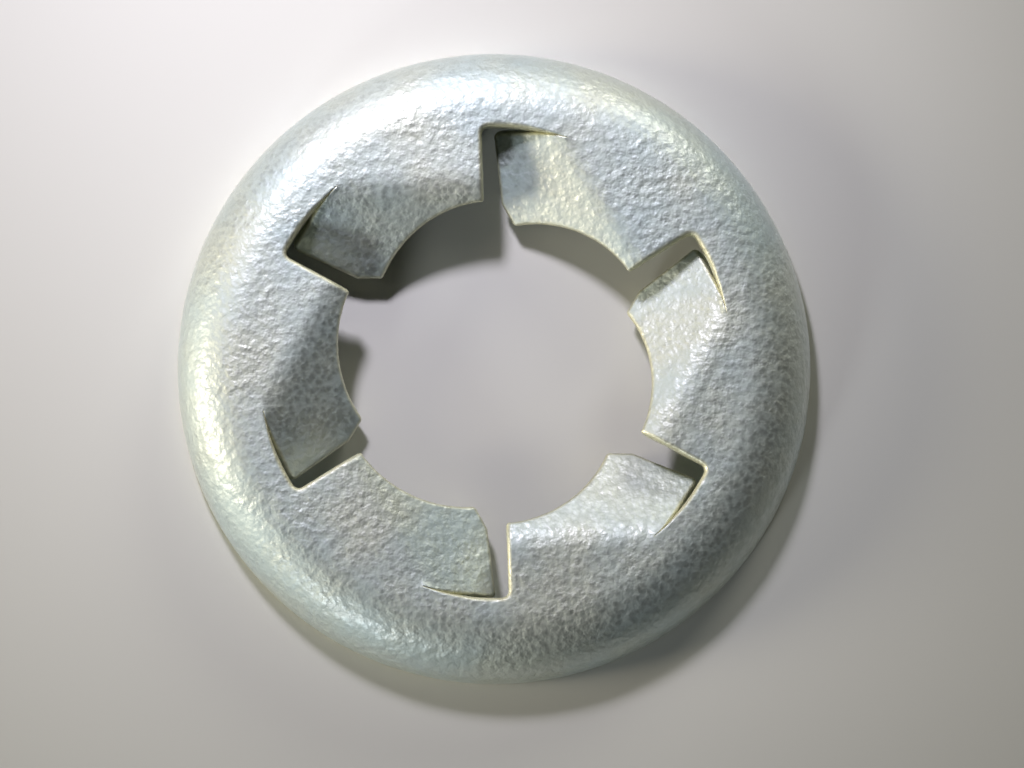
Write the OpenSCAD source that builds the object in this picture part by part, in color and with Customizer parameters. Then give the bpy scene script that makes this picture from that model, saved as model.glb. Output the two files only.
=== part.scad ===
// Push-on retaining washer, pressed from one disc of spring steel sheet.
// The rim is turned down all round, and the flat collar inside it seats on the part that is held.
// Slots divide the middle into tongues. Each tongue is sheared free of the collar beside one slot,
// folded down about a line square to the next slot, and bites the shaft with its inner corner.
// The washer lies on its rim: Z = 0 is the rim's bottom edge and +Z is the shaft's axis.

/* [Rim and collar] */
// Outer diameter of the rim
outer_d = 18; // [15:0.5:24]
// Height from the rim's bottom edge to the collar's flat top
height = 2.1; // [1.9:0.05:3]
// Thickness of the sheet
sheet_t = 0.5; // [0.3:0.05:0.7]
// Radius of the turned-down rim, measured on its outside
rim_r = 1.9; // [1.2:0.05:2.3]
// Width of the flat collar between the rim's bend and the slots' ends
collar_w = 0.45; // [0.2:0.05:1.5]
// Rounding of the rim's bottom outer edge
rim_edge_r = 0.12; // [0.04:0.01:0.2]

/* [Slots] */
// Number of slots, and of tongues
tongue_count = 6; // [4:1:8]
// Width of a slot at its outer end
slot_w = 0.3; // [0.25:0.01:0.7]
// Fillet where a slot's attached side meets the collar
slot_fillet_r = 0.2; // [0.1:0.01:0.25]
// Width of the shear cut between a freed tongue and the collar
shear_gap = 0.04; // [0.03:0.01:0.15]

/* [Tongues] */
// Diameter of the circle through the tongues' biting corners
grip_d = 8; // [5:0.1:9]
// Radius of the end of a tongue's inner edge that lies beside its attached side
heel_r = 4.5; // [3:0.01:5]
// Radius of curvature of a tongue's inner edge
edge_r = 3.45; // [3:0.05:5]
// Distance from the axis to a tongue's fold line
fold_dist = 5; // [4.6:0.05:5.5]
// Angle that a tongue is folded down by
fold_angle = 30; // [15:1:35]
// Radius of the fold, measured on its upper side
fold_r = 1.5; // [0.8:0.05:2]
// Angle by which a tongue's freed side leans away from its slot
freed_lean = 4.7; // [0:0.1:6]
// Length of the lead-in cut on a tongue's freed side, along the slot
lead_in_l = 0.65; // [0.2:0.05:0.9]
// Depth of the lead-in cut at the biting corner
lead_in_w = 0.29; // [0.1:0.01:0.5]
// Rounding of the biting corner
bite_r = 0.15; // [0.05:0.01:0.2]
// Rounding of a tongue's outer freed corner
freed_corner_r = 0.16; // [0.1:0.01:0.4]

/* [Hidden] */
$fn = 128;

outer_r = outer_d / 2;
bend_r = outer_r - rim_r;
root_r = bend_r - collar_w;
grip_r = grip_d / 2;
pitch = 360 / tongue_count;

// Lap of a tongue's attached stretch into the collar
collar_lap = collar_w / 2;
// Overshoot of cutting shapes past what they cut
past = 1;
// Extra radius that lets a fillet's arc cross its two sides instead of grazing them
crossing = 0.006;

// A tongue is drawn in a frame whose X axis runs along the slot at its attached side.
// The slot at its freed side then runs at the angle of one pitch.
fold_start_x = fold_dist + fold_r * tan(fold_angle / 2);
freed_slot = [cos(pitch), sin(pitch)];
freed_side = [sin(pitch), -cos(pitch)];
freed_dir = [cos(pitch + freed_lean), sin(pitch + freed_lean)];
freed_in = [sin(pitch + freed_lean), -cos(pitch + freed_lean)];
freed_foot = root_r * freed_slot + slot_w / 2 * freed_side;

// Point on the freed side at a distance from the axis, measured along its slot
function on_freed_side(along) = freed_foot + (along - root_r) / cos(freed_lean) * freed_dir;

// Distance along a line from a point to its outer crossing with a circle about the axis
function to_circle(point, dir, r) = -(point * dir) + sqrt((point * dir) ^ 2 - point * point + r ^ 2);

function unit(v) = v / norm(v);
function left_of(v) = [-v[1], v[0]];

// Corners of a tongue: the bite on the shaft, the start of the lead-in, and the heel
bite_side = slot_w / 2 + (root_r - grip_r) * tan(freed_lean) + lead_in_w;
bite_along = sqrt(grip_r ^ 2 - bite_side ^ 2);
bite = bite_along * freed_slot + bite_side * freed_side;
lead_in = on_freed_side(bite_along + lead_in_l);
heel = [sqrt(heel_r ^ 2 - (slot_w / 2) ^ 2), slot_w / 2];

// Centre of the inner edge's arc, on the axis's side of the line from heel to bite
edge_chord = bite - heel;
edge_rise = sqrt(edge_r ^ 2 - (edge_chord * edge_chord) / 4);
edge_centre = (bite + heel) / 2 + edge_rise * left_of(unit(edge_chord));

// Section of the collar and rim, with the radius along X and the height along Y
module rim_section() {
    rim_centre = [bend_r, height - rim_r];
    difference() {
        union() {
            translate([root_r, rim_edge_r]) square([collar_w, height - rim_edge_r]);
            translate([root_r, rim_edge_r]) square([outer_r - root_r, height - rim_r - rim_edge_r]);
            translate([root_r, 0]) square([outer_r - rim_edge_r - root_r, height - rim_r]);
            translate([outer_r - rim_edge_r, rim_edge_r]) circle(rim_edge_r);
            intersection() {
                translate(rim_centre) circle(rim_r);
                translate(rim_centre - [collar_w, 0] / 2) square(rim_r + past);
            }
        }
        translate([root_r - past, -past]) square([collar_w + past, height - sheet_t + past]);
        translate([root_r - past, -past])
            square([outer_r - sheet_t - root_r + past, height - rim_r + past]);
        translate(rim_centre) circle(rim_r - sheet_t);
    }
}

// Region under a sheet that lies flat from the fold outwards and slopes down inwards of it
module under_fold(r) {
    translate([fold_start_x, height - fold_r]) {
        circle(r);
        translate([0, -outer_d]) square([outer_d, outer_d + r]);
        rotate(fold_angle) translate([-outer_d, -outer_d]) square([outer_d, outer_d + r]);
    }
}

// The whole sheet folded along one tongue's fold line
module folded_sheet() {
    rotate([90, 0, 0]) linear_extrude(outer_d * 2, center = true) difference() {
        under_fold(fold_r);
        under_fold(fold_r - sheet_t);
    }
}

// Region between two directions from a centre, reaching past a corner that is to be rounded
module corner_region(centre, dir_a, dir_b, reach) {
    polygon([centre, centre + reach * dir_a, centre + reach * (dir_a + dir_b), centre + reach * dir_b]);
}

// Part of that region outside the rounding arc
module corner_outside(centre, dir_a, dir_b, r) {
    difference() {
        corner_region(centre, dir_a, dir_b, 3 * r);
        translate(centre) circle(r + crossing);
    }
}

// Plan of one tongue, with its attached stretch lapped into the collar
module tongue_plan() {
    lead_in_dir = unit(bite - lead_in);
    freed_r = root_r - shear_gap;

    // Centre of the outer freed corner's rounding
    freed_inset = freed_foot + freed_corner_r * freed_in;
    freed_centre = freed_inset + to_circle(freed_inset, freed_dir, freed_r - freed_corner_r) * freed_dir;

    // Centre of the biting corner's rounding, found from the inner edge's own centre
    bite_inset = bite + bite_r * left_of(lead_in_dir) - edge_centre;
    bite_back = to_circle(bite_inset, -lead_in_dir, edge_r + bite_r);
    bite_centre = edge_centre + bite_inset - bite_back * lead_in_dir;

    // Centre of the slot's fillet, inside the slot
    fillet_y = slot_w / 2 - slot_fillet_r;
    fillet_centre = [sqrt((root_r - slot_fillet_r) ^ 2 - fillet_y ^ 2), fillet_y];

    difference() {
        intersection() {
            union() {
                circle(freed_r);
                intersection() {
                    circle(root_r + collar_lap);
                    translate([fold_start_x, 0]) square(outer_d);
                }
            }
            polygon([
                [0, slot_w / 2],
                [outer_d, slot_w / 2],
                on_freed_side(outer_d),
                lead_in,
                bite + lead_in_l * lead_in_dir
            ]);
        }
        translate(edge_centre) circle(edge_r);
        corner_outside(freed_centre, -freed_in, unit(freed_centre), freed_corner_r);
        corner_outside(bite_centre, -left_of(lead_in_dir), unit(edge_centre - bite_centre), bite_r);
    }
    intersection() {
        circle(root_r + collar_lap);
        corner_outside(fillet_centre, [0, 1], unit(fillet_centre), slot_fillet_r);
    }
}

module tongue() {
    intersection() {
        folded_sheet();
        linear_extrude(height + past) tongue_plan();
    }
}

module washer() {
    color("#a7aeab") union() {
        rotate_extrude($fn = 240) rim_section();
        for (i = [0 : tongue_count - 1])
            rotate(90 + i * pitch) tongue();
    }
}

washer();
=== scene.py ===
import math

import bpy
import numpy as np
from mathutils import Matrix, Vector
from mathutils.geometry import delaunay_2d_cdt


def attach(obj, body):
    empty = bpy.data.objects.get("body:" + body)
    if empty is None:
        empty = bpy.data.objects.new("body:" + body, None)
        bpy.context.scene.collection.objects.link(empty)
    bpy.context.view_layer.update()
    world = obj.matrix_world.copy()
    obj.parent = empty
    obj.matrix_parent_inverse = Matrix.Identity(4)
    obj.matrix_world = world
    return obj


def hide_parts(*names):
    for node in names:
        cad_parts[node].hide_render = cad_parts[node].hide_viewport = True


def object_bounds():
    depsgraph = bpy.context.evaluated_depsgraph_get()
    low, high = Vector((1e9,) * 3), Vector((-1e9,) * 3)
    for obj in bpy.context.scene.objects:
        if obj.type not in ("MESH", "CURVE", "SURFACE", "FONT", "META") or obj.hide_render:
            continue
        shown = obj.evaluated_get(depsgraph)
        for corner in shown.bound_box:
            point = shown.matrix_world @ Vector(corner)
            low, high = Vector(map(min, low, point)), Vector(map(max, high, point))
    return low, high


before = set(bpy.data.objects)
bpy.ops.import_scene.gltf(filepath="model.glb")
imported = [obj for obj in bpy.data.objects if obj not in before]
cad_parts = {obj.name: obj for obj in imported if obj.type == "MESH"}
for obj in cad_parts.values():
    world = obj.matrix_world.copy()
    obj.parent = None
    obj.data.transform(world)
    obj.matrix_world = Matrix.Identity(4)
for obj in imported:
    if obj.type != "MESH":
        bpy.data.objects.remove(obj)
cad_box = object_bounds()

# The washer is pressed here as it is in the shop: one sixth of the flat blank is outlined and meshed,
# its tongue is folded and its rim is turned down, and Geometry Nodes repeat it round the shaft's axis.
# Lengths of the washer are in millimetres until the mesh is made.
MM = 0.001

# Rim and collar
outer_r = cad_box[1].x / MM
height = cad_box[1].z / MM
sheet_t = 0.5
rim_r = 1.9
collar_w = 0.45
bend_r = outer_r - rim_r
root_r = bend_r - collar_w
blank_r = bend_r + rim_r * math.pi / 2 + height - rim_r

# Slots
tongue_count = 6
slot_w = 0.3
slot_fillet_r = 0.2
shear_gap = 0.04

# Tongues
grip_r = 4.0
heel_r = 4.5
edge_r = 3.45
fold_dist = 5.0
fold_angle = math.radians(30)
fold_r = 1.5
freed_lean = math.radians(4.7)
lead_in_l = 0.65
lead_in_w = 0.29
bite_r = 0.15
freed_corner_r = 0.16

# Rounding of the cut edges: the punch rolls them over on the domed face, and tumbling dulls the underside
rolled_edge_r = 0.13
under_edge_r = 0.06
# Length of a tongue's corner that tumbling wears off, and the points along it
worn_corner = 0.09
worn_points = 4
# The shear cut narrows to its end, where the tongue's edge rises to the collar over a short way.
# Its gap and its rolled edges keep a small share of their full width there.
shear_end_x = 5.1
shear_full_x = 4.1
shear_end_gap_share = 0.15
shear_end_edge_share = 0.06
shear_rise = 0.5
shear_blend = 0.15

# Mesh spacing along the cut edges, on the domed face and on the underside
edge_step = 0.075
face_step = 0.078
under_step = 0.17
# Distances from the cut edges to the rows of points beside them, on the domed face and on the underside
face_insets = [0.02, 0.05, 0.09, 0.13]
under_insets = [0.02, 0.06]
# Share of its distance that a row's point keeps from every edge, and steps from the last row to the lattice
row_clearance = 0.97
lattice_clearance = 0.6
# Share of the shaft's radius inside which no lattice is laid
lattice_hole = 0.9
# Rows of faces on the cut walls, from the domed face to the underside
wall_rows = 4
# Points this near to the root circle belong to the collar
root_margin = 0.001
# The sectors join a little beyond the slot's middle, clear of its fillet
join_angle = math.radians(-2)

pitch = 2 * math.pi / tongue_count
fold_start_x = fold_dist + fold_r * math.tan(fold_angle / 2)


def linear(hex_colour):
    """Linear RGBA of an sRGB hex colour."""
    channels = [int(hex_colour[i:i + 2], 16) / 255 for i in (1, 3, 5)]
    return [c / 12.92 if c <= 0.04045 else ((c + 0.055) / 1.055) ** 2.4 for c in channels] + [1.0]


def add_node(tree, kind, inputs=None, **settings):
    """Adds a node with its settings. An input is a value, or a socket that is linked to it."""
    node = tree.nodes.new(kind)
    for name, value in settings.items():
        setattr(node, name, value)
    for socket, value in (inputs or {}).items():
        if isinstance(value, bpy.types.NodeSocket):
            tree.links.new(value, node.inputs[socket])
        else:
            node.inputs[socket].default_value = value
    return node


def unit(v):
    return v / np.linalg.norm(v)


def left_of(v):
    return np.array([-v[1], v[0]])


def heading(angle):
    return np.array([math.cos(angle), math.sin(angle)])


def to_circle(point, direction, r):
    """Distance along a line from a point to its outer crossing with a circle about the origin."""
    along = point @ direction
    return -along + math.sqrt(along ** 2 - point @ point + r ** 2)


def line(start, end, step):
    """Points of a straight stretch, without its last one."""
    count = max(1, round(np.linalg.norm(end - start) / step))
    return start + np.arange(count)[:, None] / count * (end - start)


def arc(centre, start, end, turn, step):
    """Points of an arc that turns left (1) or right (-1), without its last one."""
    first = math.atan2(*(start - centre)[::-1])
    last = math.atan2(*(end - centre)[::-1])
    sweep = (last - first) * turn % (2 * math.pi)
    r = np.linalg.norm(start - centre)
    count = max(1, round(sweep * r / step))
    angles = first + turn * sweep * np.arange(count) / count
    return centre + r * np.column_stack([np.cos(angles), np.sin(angles)])


def worn(start, corner, end):
    """Points of a worn corner, without its last one."""
    t = np.arange(worn_points)[:, None] / worn_points
    return start * (1 - t) ** 2 + corner * 2 * t * (1 - t) + end * t ** 2


def shear_share(x, least):
    """Share of the shear cut's full width, from 1 down to the least at its end."""
    return np.clip((shear_end_x - x) / (shear_end_x - shear_full_x), least, 1)


def cut_edges():
    """Cut edges of one sixth of the blank: the shear cut that frees the tongue from the collar, and the
    blanked edge from there round the tongue to the slot at its attached side, which lies along X."""
    axis = np.zeros(2)
    freed_slot = heading(pitch)
    freed_side = -left_of(freed_slot)
    freed_dir = heading(pitch + freed_lean)
    freed_in = -left_of(freed_dir)
    freed_foot = root_r * freed_slot + slot_w / 2 * freed_side
    freed_r = root_r - shear_gap

    bite_side = slot_w / 2 + (root_r - grip_r) * math.tan(freed_lean) + lead_in_w
    bite_along = math.sqrt(grip_r ** 2 - bite_side ** 2)
    bite = bite_along * freed_slot + bite_side * freed_side
    lead_in = freed_foot + (bite_along + lead_in_l - root_r) / math.cos(freed_lean) * freed_dir
    lead_in_dir = unit(bite - lead_in)
    heel = np.array([math.sqrt(heel_r ** 2 - slot_w ** 2 / 4), slot_w / 2])
    chord = bite - heel
    edge_rise = math.sqrt(edge_r ** 2 - chord @ chord / 4)
    edge_centre = (bite + heel) / 2 + edge_rise * left_of(unit(chord))

    freed_inset = freed_foot + freed_corner_r * freed_in
    freed_centre = freed_inset + to_circle(freed_inset, freed_dir, freed_r - freed_corner_r) * freed_dir
    bite_inset = bite + bite_r * left_of(lead_in_dir) - edge_centre
    bite_back = to_circle(bite_inset, -lead_in_dir, edge_r + bite_r)
    bite_centre = edge_centre + bite_inset - bite_back * lead_in_dir
    fillet_y = slot_w / 2 - slot_fillet_r
    fillet_centre = np.array([math.sqrt((root_r - slot_fillet_r) ** 2 - fillet_y ** 2), fillet_y])

    shear_angle = math.acos(shear_end_x / root_r)
    shear_end = root_r * heading(shear_angle)
    freed_top = freed_centre + freed_corner_r * unit(freed_centre)
    freed_turn = freed_centre - freed_corner_r * freed_in
    bite_start = bite_centre - bite_r * left_of(lead_in_dir)
    bite_end = bite_centre + bite_r * unit(edge_centre - bite_centre)
    heel_end = edge_centre + edge_r * unit(heel + worn_corner * unit(chord) - edge_centre)
    heel_start = heel + np.array([worn_corner, 0])
    fillet_start = fillet_centre + np.array([0, slot_fillet_r])
    fillet_end = fillet_centre + slot_fillet_r * unit(fillet_centre)

    corner_step = edge_step / 2
    freed_edge = arc(axis, freed_top, shear_end * freed_r / root_r, -1, edge_step)
    narrowing = shear_share(freed_edge[:, :1], shear_end_gap_share)
    freed_edge *= (root_r - shear_gap * narrowing) / freed_r
    shear_cut = np.vstack([
        arc(axis, root_r * heading(pitch + join_angle), shear_end, -1, edge_step),
        [shear_end],
        freed_edge[::-1],
    ])
    blanked = np.vstack([
        arc(freed_centre, freed_top, freed_turn, 1, corner_step),
        line(freed_turn, lead_in, edge_step),
        line(lead_in, bite_start, edge_step),
        arc(bite_centre, bite_start, bite_end, 1, corner_step),
        arc(edge_centre, bite_end, heel_end, -1, edge_step),
        worn(heel_end, heel, heel_start),
        line(heel_start, fillet_start, edge_step),
        arc(fillet_centre, fillet_start, fillet_end, -1, corner_step),
        arc(axis, fillet_end, root_r * heading(join_angle), -1, edge_step),
        [root_r * heading(join_angle)],
    ])
    return shear_cut, blanked


def distance_to(path, points):
    """Shortest distance from each point to a path."""
    nearest = np.full(len(points), np.inf)
    for a, b in zip(path[:-1], path[1:]):
        along = np.clip((points - a) @ (b - a) / ((b - a) @ (b - a)), 0, 1)
        nearest = np.minimum(nearest, np.linalg.norm(points - a - along[:, None] * (b - a), axis=1))
    return nearest


def inside(loop, points):
    """Whether each point lies within a closed loop."""
    crossings = np.zeros(len(points), int)
    for a, b in zip(loop, np.roll(loop, -1, axis=0)):
        spans = (a[1] > points[:, 1]) != (b[1] > points[:, 1])
        if spans.any():
            x = a[0] + (points[spans, 1] - a[1]) / (b[1] - a[1]) * (b[0] - a[0])
            crossings[spans] += x > points[spans, 0]
    return crossings % 2 == 1


def mesh_blank(loop, free_paths, step, insets):
    """Triangles of the flat blank: its loop, rows of points beside its cut edges, and an even lattice."""
    rows = []
    for path in free_paths:
        ahead = np.diff(path, axis=0)
        inward = np.column_stack([-ahead[:, 1], ahead[:, 0]]) / np.linalg.norm(ahead, axis=1)[:, None]
        middle = (path[:-1] + path[1:]) / 2
        rows += [middle + inset * inward for inset in insets]
    closed = np.vstack([loop, loop[:1]])
    kept = []
    for inset, row in zip(insets * len(free_paths), rows):
        kept.append(row[(distance_to(closed, row) > inset * row_clearance) & inside(loop, row)])
    across = np.arange(0, blank_r, step)
    up = np.arange(blank_r * math.sin(join_angle), blank_r, step * math.sqrt(3) / 2)
    lattice = np.array([[x + step / 2 * (j % 2), y] for j, y in enumerate(up) for x in across])
    reach = np.linalg.norm(lattice, axis=1)
    lattice = lattice[(reach < blank_r) & (reach > grip_r * lattice_hole)]
    lattice = lattice[inside(loop, lattice)]
    lattice = lattice[distance_to(closed, lattice) > max(insets) + step * lattice_clearance]
    points = np.vstack([loop, *kept, lattice])
    count = len(loop)
    edges = [(i, (i + 1) % count) for i in range(count)]
    found = delaunay_2d_cdt([Vector(p) for p in points], edges, [], 1, 1e-7)
    order = [origin[0] for origin in found[3]]
    triangles = np.array([[order[i] for i in face] for face in found[2]])
    a, b, c = (points[triangles[:, i]] for i in range(3))
    turned = (b - a)[:, 0] * (c - a)[:, 1] - (b - a)[:, 1] * (c - a)[:, 0] < 0
    triangles[turned] = triangles[turned][:, ::-1]
    return points, triangles


def press(points):
    """Place on the domed face, and the way that face looks, for each point of the flat blank."""
    r = np.linalg.norm(points, axis=1)
    outwards = points / r[:, None]
    turn = np.clip((r - bend_r) / rim_r, 0, math.pi / 2)
    skirt = np.clip(r - bend_r - rim_r * math.pi / 2, 0, None)
    reach = np.minimum(r, bend_r) + rim_r * np.sin(turn)
    rim = np.column_stack([outwards * reach[:, None], height - rim_r * (1 - np.cos(turn)) - skirt])
    rim_way = np.column_stack([outwards * np.sin(turn)[:, None], np.cos(turn)])

    across = np.clip((root_r - r) / shear_blend, 0, 1)
    along = np.clip((points[:, 0] - shear_end_x) / shear_rise + 1, 0, 1)
    freed = 1 - (1 - across ** 2 * (3 - 2 * across)) * along ** 2 * (3 - 2 * along)
    lean = np.arcsin(np.clip((fold_start_x - points[:, 0]) / fold_r, 0, math.sin(fold_angle)))
    past_fold = np.clip(fold_start_x - fold_r * math.sin(fold_angle) - points[:, 0], 0, None)
    drop = freed * (fold_r * (1 - np.cos(lean)) + past_fold * math.tan(fold_angle))
    lean *= freed
    tongue = np.column_stack([points, height - drop])
    tongue_way = np.column_stack([-np.sin(lean), np.zeros(len(r)), np.cos(lean)])

    folded = (r < root_r - root_margin)[:, None]
    return np.where(folded, tongue, rim), np.where(folded, tongue_way, rim_way)


def rolled(distance, r):
    """Depth by which an edge rounded to a radius falls away at a distance from the cut."""
    short = np.clip(r - distance, 0, None)
    return r - np.sqrt(r ** 2 - short ** 2)


def sector_mesh():
    """One sixth of the washer, open where it joins its neighbours."""
    shear_cut, blanked = cut_edges()
    inner = np.vstack([shear_cut[:-1], blanked])
    radii = np.linspace(root_r, blank_r, round((blank_r - root_r) / face_step) + 1)
    join_out = radii[1:-1, None] * heading(join_angle)
    join_in = radii[-2:0:-1, None] * heading(pitch + join_angle)
    skirt_start = blank_r * heading(join_angle)
    skirt_end = blank_r * heading(pitch + join_angle)
    skirt = np.vstack([arc(np.zeros(2), skirt_start, skirt_end, 1, edge_step), [skirt_end]])
    loop = np.vstack([inner, join_out, skirt, join_in])
    first_skirt = len(inner) + len(join_out)
    free_paths = [inner, skirt]

    sides = []
    for step, r, insets in (
        (face_step, rolled_edge_r, face_insets),
        (under_step, under_edge_r, under_insets),
    ):
        points, triangles = mesh_blank(loop, free_paths, step, insets)
        from_shear = distance_to(shear_cut, points)
        from_blanked = distance_to(blanked, points)
        from_skirt = distance_to(skirt, points)
        sheared = shear_share(points[:, 0], shear_end_edge_share)
        edge = np.minimum.reduce([from_shear / sheared, from_blanked, from_skirt])
        sunk = np.maximum(rolled(from_shear, r * sheared), rolled(from_blanked, r))
        sunk = np.maximum(sunk, rolled(from_skirt, r))
        place, way = press(points)
        sides.append((points, triangles, edge, sunk, place, way))

    verts, faces, edges = [], [], []
    points, triangles, edge, sunk, place, way = sides[0]
    verts.append(place - way * sunk[:, None])
    faces += triangles.tolist()
    edges.append(edge)
    under_start = len(points)
    points, triangles, edge, sunk, place, way = sides[1]
    verts.append(place - way * (sheet_t - sunk)[:, None])
    faces += (triangles[:, ::-1] + under_start).tolist()
    edges.append(edge)
    wall_start = under_start + len(points)

    free_chains = [list(range(len(inner))), list(range(first_skirt, first_skirt + len(skirt)))]
    for chain in free_chains:
        rows = [chain]
        top = verts[0][chain]
        foot = verts[1][chain]
        for k in range(1, wall_rows):
            verts.append(top + (foot - top) * k / wall_rows)
            edges.append(np.zeros(len(chain)))
            rows.append(list(range(wall_start, wall_start + len(chain))))
            wall_start += len(chain)
        rows.append([i + under_start for i in chain])
        for upper, lower in zip(rows[:-1], rows[1:]):
            for i in range(len(chain) - 1):
                faces.append([upper[i + 1], upper[i], lower[i], lower[i + 1]])

    mesh = bpy.data.meshes.new("washer_sector")
    mesh.from_pydata((np.vstack(verts) * MM).tolist(), [], faces)
    cut = mesh.attributes.new("from_cut_edge_mm", "FLOAT", "POINT")
    cut.data.foreach_set("value", np.concatenate(edges).astype(np.float32))
    mesh.update()
    return mesh


def repeat_tree():
    """Geometry Nodes that set the pressed sector round the shaft's axis, weld it and raise the plating's
    grain."""
    tree = bpy.data.node_groups.new("sectors_round_the_shaft", "GeometryNodeTree")
    sockets = (
        ("Sector", "NodeSocketGeometry", None),
        ("Tongue count", "NodeSocketInt", tongue_count),
        ("Start angle", "NodeSocketFloat", math.pi / 2),
        ("Weld distance", "NodeSocketFloat", 0.003 * MM),
        ("Lump size", "NodeSocketFloat", 0.55 * MM),
        ("Lump height", "NodeSocketFloat", 0.010 * MM),
        ("Grain size", "NodeSocketFloat", 0.24 * MM),
        ("Grain height", "NodeSocketFloat", 0.014 * MM),
        ("Seed", "NodeSocketFloat", 3.0),
        ("Finish", "NodeSocketMaterial", None),
    )
    for name, kind, value in sockets:
        socket = tree.interface.new_socket(name, in_out="INPUT", socket_type=kind)
        if value is not None:
            socket.default_value = value
    tree.interface.new_socket("Washer", in_out="OUTPUT", socket_type="NodeSocketGeometry")

    given = add_node(tree, "NodeGroupInput").outputs
    points = add_node(tree, "GeometryNodePoints", {"Count": given["Tongue count"]})
    index = add_node(tree, "GeometryNodeInputIndex")
    step = add_node(tree, "ShaderNodeMath", {0: 2 * math.pi, 1: given["Tongue count"]}, operation="DIVIDE")
    angle = add_node(
        tree, "ShaderNodeMath",
        {0: index.outputs[0], 1: step.outputs[0], 2: given["Start angle"]}, operation="MULTIPLY_ADD",
    )
    about_axis = add_node(tree, "ShaderNodeCombineXYZ", {"Z": angle.outputs[0]})
    rotation = add_node(tree, "FunctionNodeEulerToRotation", {0: about_axis.outputs[0]})
    placed = add_node(
        tree, "GeometryNodeInstanceOnPoints",
        {"Points": points.outputs[0], "Instance": given["Sector"], "Rotation": rotation.outputs[0]},
    )
    realized = add_node(tree, "GeometryNodeRealizeInstances", {0: placed.outputs[0]})
    welded = add_node(
        tree, "GeometryNodeMergeByDistance",
        {"Geometry": realized.outputs[0], "Distance": given["Weld distance"]},
    )

    rises = []
    for name in ("Lump", "Grain"):
        scale = add_node(tree, "ShaderNodeMath", {0: 1.0, 1: given[name + " size"]}, operation="DIVIDE")
        noise = add_node(
            tree, "ShaderNodeTexNoise",
            {"Scale": scale.outputs[0], "W": given["Seed"], "Detail": 1.0}, noise_dimensions="4D",
        )
        centred = add_node(tree, "ShaderNodeMath", {0: noise.outputs[0], 1: 0.5}, operation="SUBTRACT")
        rises.append(add_node(
            tree, "ShaderNodeMath",
            {0: centred.outputs[0], 1: given[name + " height"]}, operation="MULTIPLY",
        ).outputs[0])
    rise = add_node(tree, "ShaderNodeMath", {0: rises[0], 1: rises[1]}, operation="ADD")
    normal = add_node(tree, "GeometryNodeInputNormal")
    offset = add_node(
        tree, "ShaderNodeVectorMath", {0: normal.outputs[0], "Scale": rise.outputs[0]}, operation="SCALE",
    )
    grained = add_node(
        tree, "GeometryNodeSetPosition", {"Geometry": welded.outputs[0], "Offset": offset.outputs[0]},
    )
    smooth = add_node(tree, "GeometryNodeSetShadeSmooth", {"Geometry": grained.outputs[0]})
    finished = add_node(
        tree, "GeometryNodeSetMaterial", {"Geometry": smooth.outputs[0], "Material": given["Finish"]},
    )
    add_node(tree, "NodeGroupOutput", {0: finished.outputs[0]})
    return tree


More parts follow.
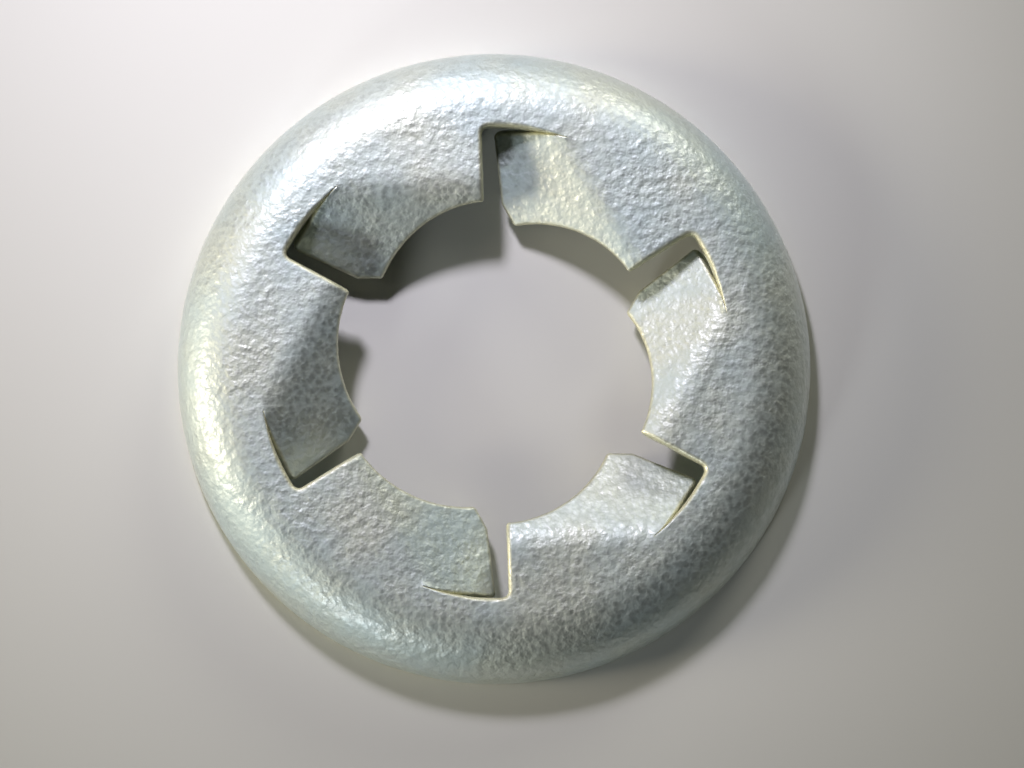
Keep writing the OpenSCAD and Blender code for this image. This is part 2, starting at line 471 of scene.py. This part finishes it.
def zinc_plate():
    """Zinc, tumbled on to the spring steel in a barrel with glass beads, under a clear passivate film: a
    pale satin metal with a pebbled skin. The beads' dents catch the light one by one, and the film adds a
    tighter gloss to them. Along the cut edges the colour is painted paler and warmer: partly a painted warm
    highlight on the rolled edges, partly a warmer tint of the thin zinc there. Elsewhere its tone drifts
    softly from cool to warm grey."""
    material = bpy.data.materials.new("zinc_plate_tumbled")
    material.use_nodes = True
    tree = material.node_tree
    tree.nodes.clear()
    place = add_node(tree, "ShaderNodeTexCoord").outputs["Object"]

    drift = add_node(
        tree, "ShaderNodeTexNoise", {"Vector": place, "Scale": 1 / (2.6 * MM), "Detail": 3.0},
    )
    tone = add_node(tree, "ShaderNodeValToRGB", {0: drift.outputs[0]})
    tone.color_ramp.elements[0].position = 0.35
    tone.color_ramp.elements[0].color = linear("#c0cfcf")
    tone.color_ramp.elements[1].position = 0.65
    tone.color_ramp.elements[1].color = linear("#c9d1c8")

    # Painted warm highlight: within 0.14 mm of the cut edges the colour turns paler and warmer, standing in
    # for the warm light the rolled edges catch, with a warmer tint of the thin zinc there
    cut = add_node(tree, "ShaderNodeAttribute", attribute_name="from_cut_edge_mm")
    painted_edge_highlight = add_node(
        tree, "ShaderNodeMapRange",
        {"Value": cut.outputs["Fac"], "From Min": 0.03, "From Max": 0.14, "To Min": 1.0, "To Max": 0.0},
    )
    # Inputs 6 and 7 are the two colours that are mixed
    base = add_node(
        tree, "ShaderNodeMix",
        {0: painted_edge_highlight.outputs[0], 6: tone.outputs[0], 7: linear("#d5d5b8")}, data_type="RGBA",
    )

    # The skin's pebbles: round tops of uneven outline with creases between them, on softer swells, and
    # deeper in some places than in others
    stir = add_node(tree, "ShaderNodeTexNoise", {"Vector": place, "Scale": 1 / (0.2 * MM), "Detail": 2.0})
    stirred = add_node(
        tree, "ShaderNodeVectorMath",
        {0: stir.outputs["Color"], 1: (0.18 * MM,) * 3, 2: place}, operation="MULTIPLY_ADD",
    )
    pebbles = add_node(
        tree, "ShaderNodeTexVoronoi",
        {"Vector": stirred.outputs[0], "Scale": 1 / (0.18 * MM)}, feature="F1",
    )
    hollow = add_node(
        tree, "ShaderNodeMath", {0: pebbles.outputs["Distance"], 1: 2.0}, operation="POWER",
    )
    swell = add_node(
        tree, "ShaderNodeTexNoise",
        {"Vector": place, "Scale": 1 / (0.26 * MM), "Detail": 2.0, "Roughness": 0.5},
    )
    skin = add_node(
        tree, "ShaderNodeMath",
        {0: swell.outputs[0], 1: 4.6, 2: hollow.outputs[0]}, operation="MULTIPLY_ADD",
    )
    patches = add_node(
        tree, "ShaderNodeTexNoise", {"Vector": place, "Scale": 1 / (1.3 * MM), "Detail": 1.0},
    )
    depth = add_node(
        tree, "ShaderNodeMapRange",
        {"Value": patches.outputs[0], "From Min": 0.3, "From Max": 0.7, "To Min": 0.5, "To Max": 1.0},
    )
    bump = add_node(
        tree, "ShaderNodeBump",
        {"Height": skin.outputs[0], "Distance": 0.0115 * MM, "Strength": depth.outputs[0]}, invert=True,
    )
    # Burnished tops among matt creases
    sheen = add_node(
        tree, "ShaderNodeMapRange",
        {"Value": hollow.outputs[0], "From Min": 0.0, "From Max": 0.4, "To Min": 0.54, "To Max": 0.7},
    )
    shader = add_node(
        tree, "ShaderNodeBsdfPrincipled",
        {
            "Base Color": base.outputs["Result"],
            "Metallic": 1.0,
            "Roughness": sheen.outputs[0],
            "Normal": bump.outputs[0],
            "Coat Weight": 1.0,
            "Coat Roughness": 0.3,
            "Coat Normal": bump.outputs[0],
        },
    )
    add_node(tree, "ShaderNodeOutputMaterial", {"Surface": shader.outputs[0]})
    return material


def make_washer():
    """The dressed washer: the pressed sector, repeated and welded, as one plain mesh."""
    sector = bpy.data.objects.new("washer_sector", sector_mesh())
    bpy.context.scene.collection.objects.link(sector)
    tree = repeat_tree()
    modifier = sector.modifiers.new("sectors_round_the_shaft", "NODES")
    modifier.node_group = tree
    finish = zinc_plate()
    for item in tree.interface.items_tree:
        if item.name == "Finish":
            modifier[item.identifier] = finish
    bpy.context.view_layer.update()
    evaluated = sector.evaluated_get(bpy.context.evaluated_depsgraph_get())
    mesh = bpy.data.meshes.new_from_object(evaluated)
    mesh.name = "plated_washer"
    bpy.data.objects.remove(sector)
    washer = bpy.data.objects.new("plated_washer", mesh)
    bpy.context.scene.collection.objects.link(washer)
    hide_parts("washer")
    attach(washer, "root")


def make_floor():
    """A plain pale board under the washer."""
    mesh = bpy.data.meshes.new("floor")
    reach = 2.0
    corners = [(-reach, -reach, 0), (reach, -reach, 0), (reach, reach, 0), (-reach, reach, 0)]
    mesh.from_pydata(corners, [], [(0, 1, 2, 3)])
    floor = bpy.data.objects.new("floor", mesh)
    bpy.context.scene.collection.objects.link(floor)
    material = bpy.data.materials.new("pale_card")
    material.use_nodes = True
    tree = material.node_tree
    tree.nodes.clear()
    shader = add_node(
        tree, "ShaderNodeBsdfPrincipled",
        {"Base Color": linear("#cdd0ca"), "Roughness": 0.9, "Specular IOR Level": 0.1},
    )
    add_node(tree, "ShaderNodeOutputMaterial", {"Surface": shader.outputs[0]})
    mesh.materials.append(material)


def make_lamp(name, place_mm, aim_mm, size_mm, spread_degrees, watts, colour):
    """A round soft lamp with a grid, which keeps its light on the washer and makes no hot spot on the floor
    below the lamp."""
    lamp = bpy.data.lights.new(name, "AREA")
    lamp.shape = "DISK"
    lamp.size = size_mm * MM
    lamp.spread = math.radians(spread_degrees)
    lamp.energy = watts
    lamp.color = linear(colour)[:3]
    holder = bpy.data.objects.new(name, lamp)
    bpy.context.scene.collection.objects.link(holder)
    holder.location = Vector(place_mm) * MM
    holder.rotation_mode = "QUATERNION"
    holder.rotation_quaternion = (Vector(aim_mm) - Vector(place_mm)).to_track_quat("-Z", "Y")
    holder.visible_camera = False


def make_light():
    """A soft key lamp behind the washer and a little to the left, low fills from the left, the back and the
    front, and a dim grey room."""
    make_lamp("key", (-23.3, 65.5, 71.9), (-6, 15, 1), 16, 33, 0.0044, "#f7efff")
    make_lamp("left_fill", (-123.6, -8.0, 36.0), (-10, -1, 1), 46, 36, 0.0062, "#fff1dc")
    make_lamp("back_fill", (76.8, 133.1, 60.2), (0, 0, 1), 60, 60, 0.0108, "#fffaec")
    make_lamp("front_fill", (-91.1, -125.4, 56.4), (-5, -5, 1), 28, 50, 0.0048, "#fafdff")
    world = bpy.data.worlds.new("room")
    bpy.context.scene.world = world
    world.use_nodes = True
    tree = world.node_tree
    tree.nodes.clear()
    room = add_node(tree, "ShaderNodeBackground", {"Color": linear("#c8cac4"), "Strength": 0.05})
    add_node(tree, "ShaderNodeOutputWorld", {"Surface": room.outputs[0]})


def make_camera():
    """A long lens almost straight above the washer, as the photograph was taken."""
    azimuth = math.radians(8.84)
    elevation = math.radians(84.11)
    roll = math.radians(-2.06)
    distance = 130.0
    aim = np.array([0.469, -0.574, height / 2])
    level = math.cos(elevation)
    back = np.array([-math.sin(azimuth) * level, -math.cos(azimuth) * level, math.sin(elevation)])
    eye = distance * back + np.array([0, 0, height / 2])
    ahead = unit(aim - eye)
    level_right = unit(np.cross(ahead, [0, 1, 0]))
    level_up = np.cross(level_right, ahead)
    right = math.cos(roll) * level_right + math.sin(roll) * level_up
    up = -math.sin(roll) * level_right + math.cos(roll) * level_up
    camera = bpy.data.cameras.new("camera")
    camera.sensor_fit = "HORIZONTAL"
    camera.sensor_width = 36.0
    camera.lens = 161.6
    camera.clip_start = 0.005
    camera.clip_end = 20.0
    holder = bpy.data.objects.new("camera", camera)
    bpy.context.scene.collection.objects.link(holder)
    turn = Matrix([right, up, -ahead]).transposed().to_4x4()
    holder.matrix_world = Matrix.Translation(Vector(eye) * MM) @ turn
    bpy.context.scene.camera = holder


make_washer()
make_floor()
make_light()
make_camera()
bpy.context.scene.view_settings.view_transform = "Standard"
